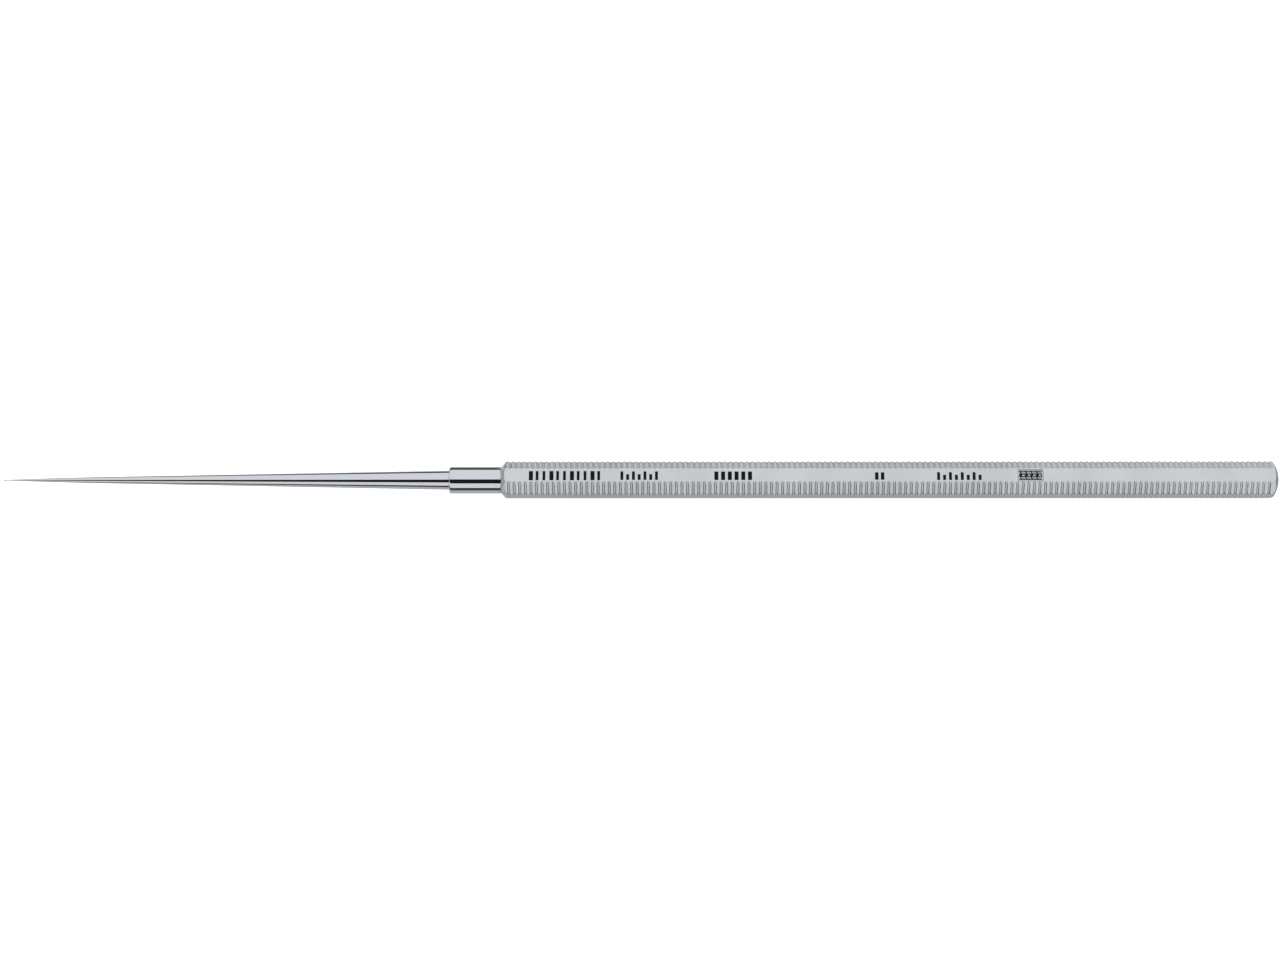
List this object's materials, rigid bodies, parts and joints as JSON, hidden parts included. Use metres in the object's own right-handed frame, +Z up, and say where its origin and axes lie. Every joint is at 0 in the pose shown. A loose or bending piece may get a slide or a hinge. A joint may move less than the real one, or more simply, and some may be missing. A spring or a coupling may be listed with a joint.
{
  "type": "dental explorer",
  "caption": "Straight dental explorer with a long tapered polished needle, a polished round collar and a slim octagonal grooved handle.",
  "frame": {"origin": "under the middle of the instrument's length, on the surface that it rests on", "axes": "+X from the needle's point to the tail, +Z up, out of the smooth marked face"},
  "size_m": [0.165, 0.0044, 0.0044],
  "materials": {
    "polished_steel": "mirror-polished stainless steel",
    "satin_steel": "fine matt blasted stainless steel",
    "braze_metal": "silver braze, as flowed"
  },
  "bodies": {
    "root": {"needle": "polished_steel", "collar": "polished_steel", "handle": "satin_steel", "needle_braze": "braze_metal", "collar_braze": "braze_metal"}
  },
  "joints": []
}
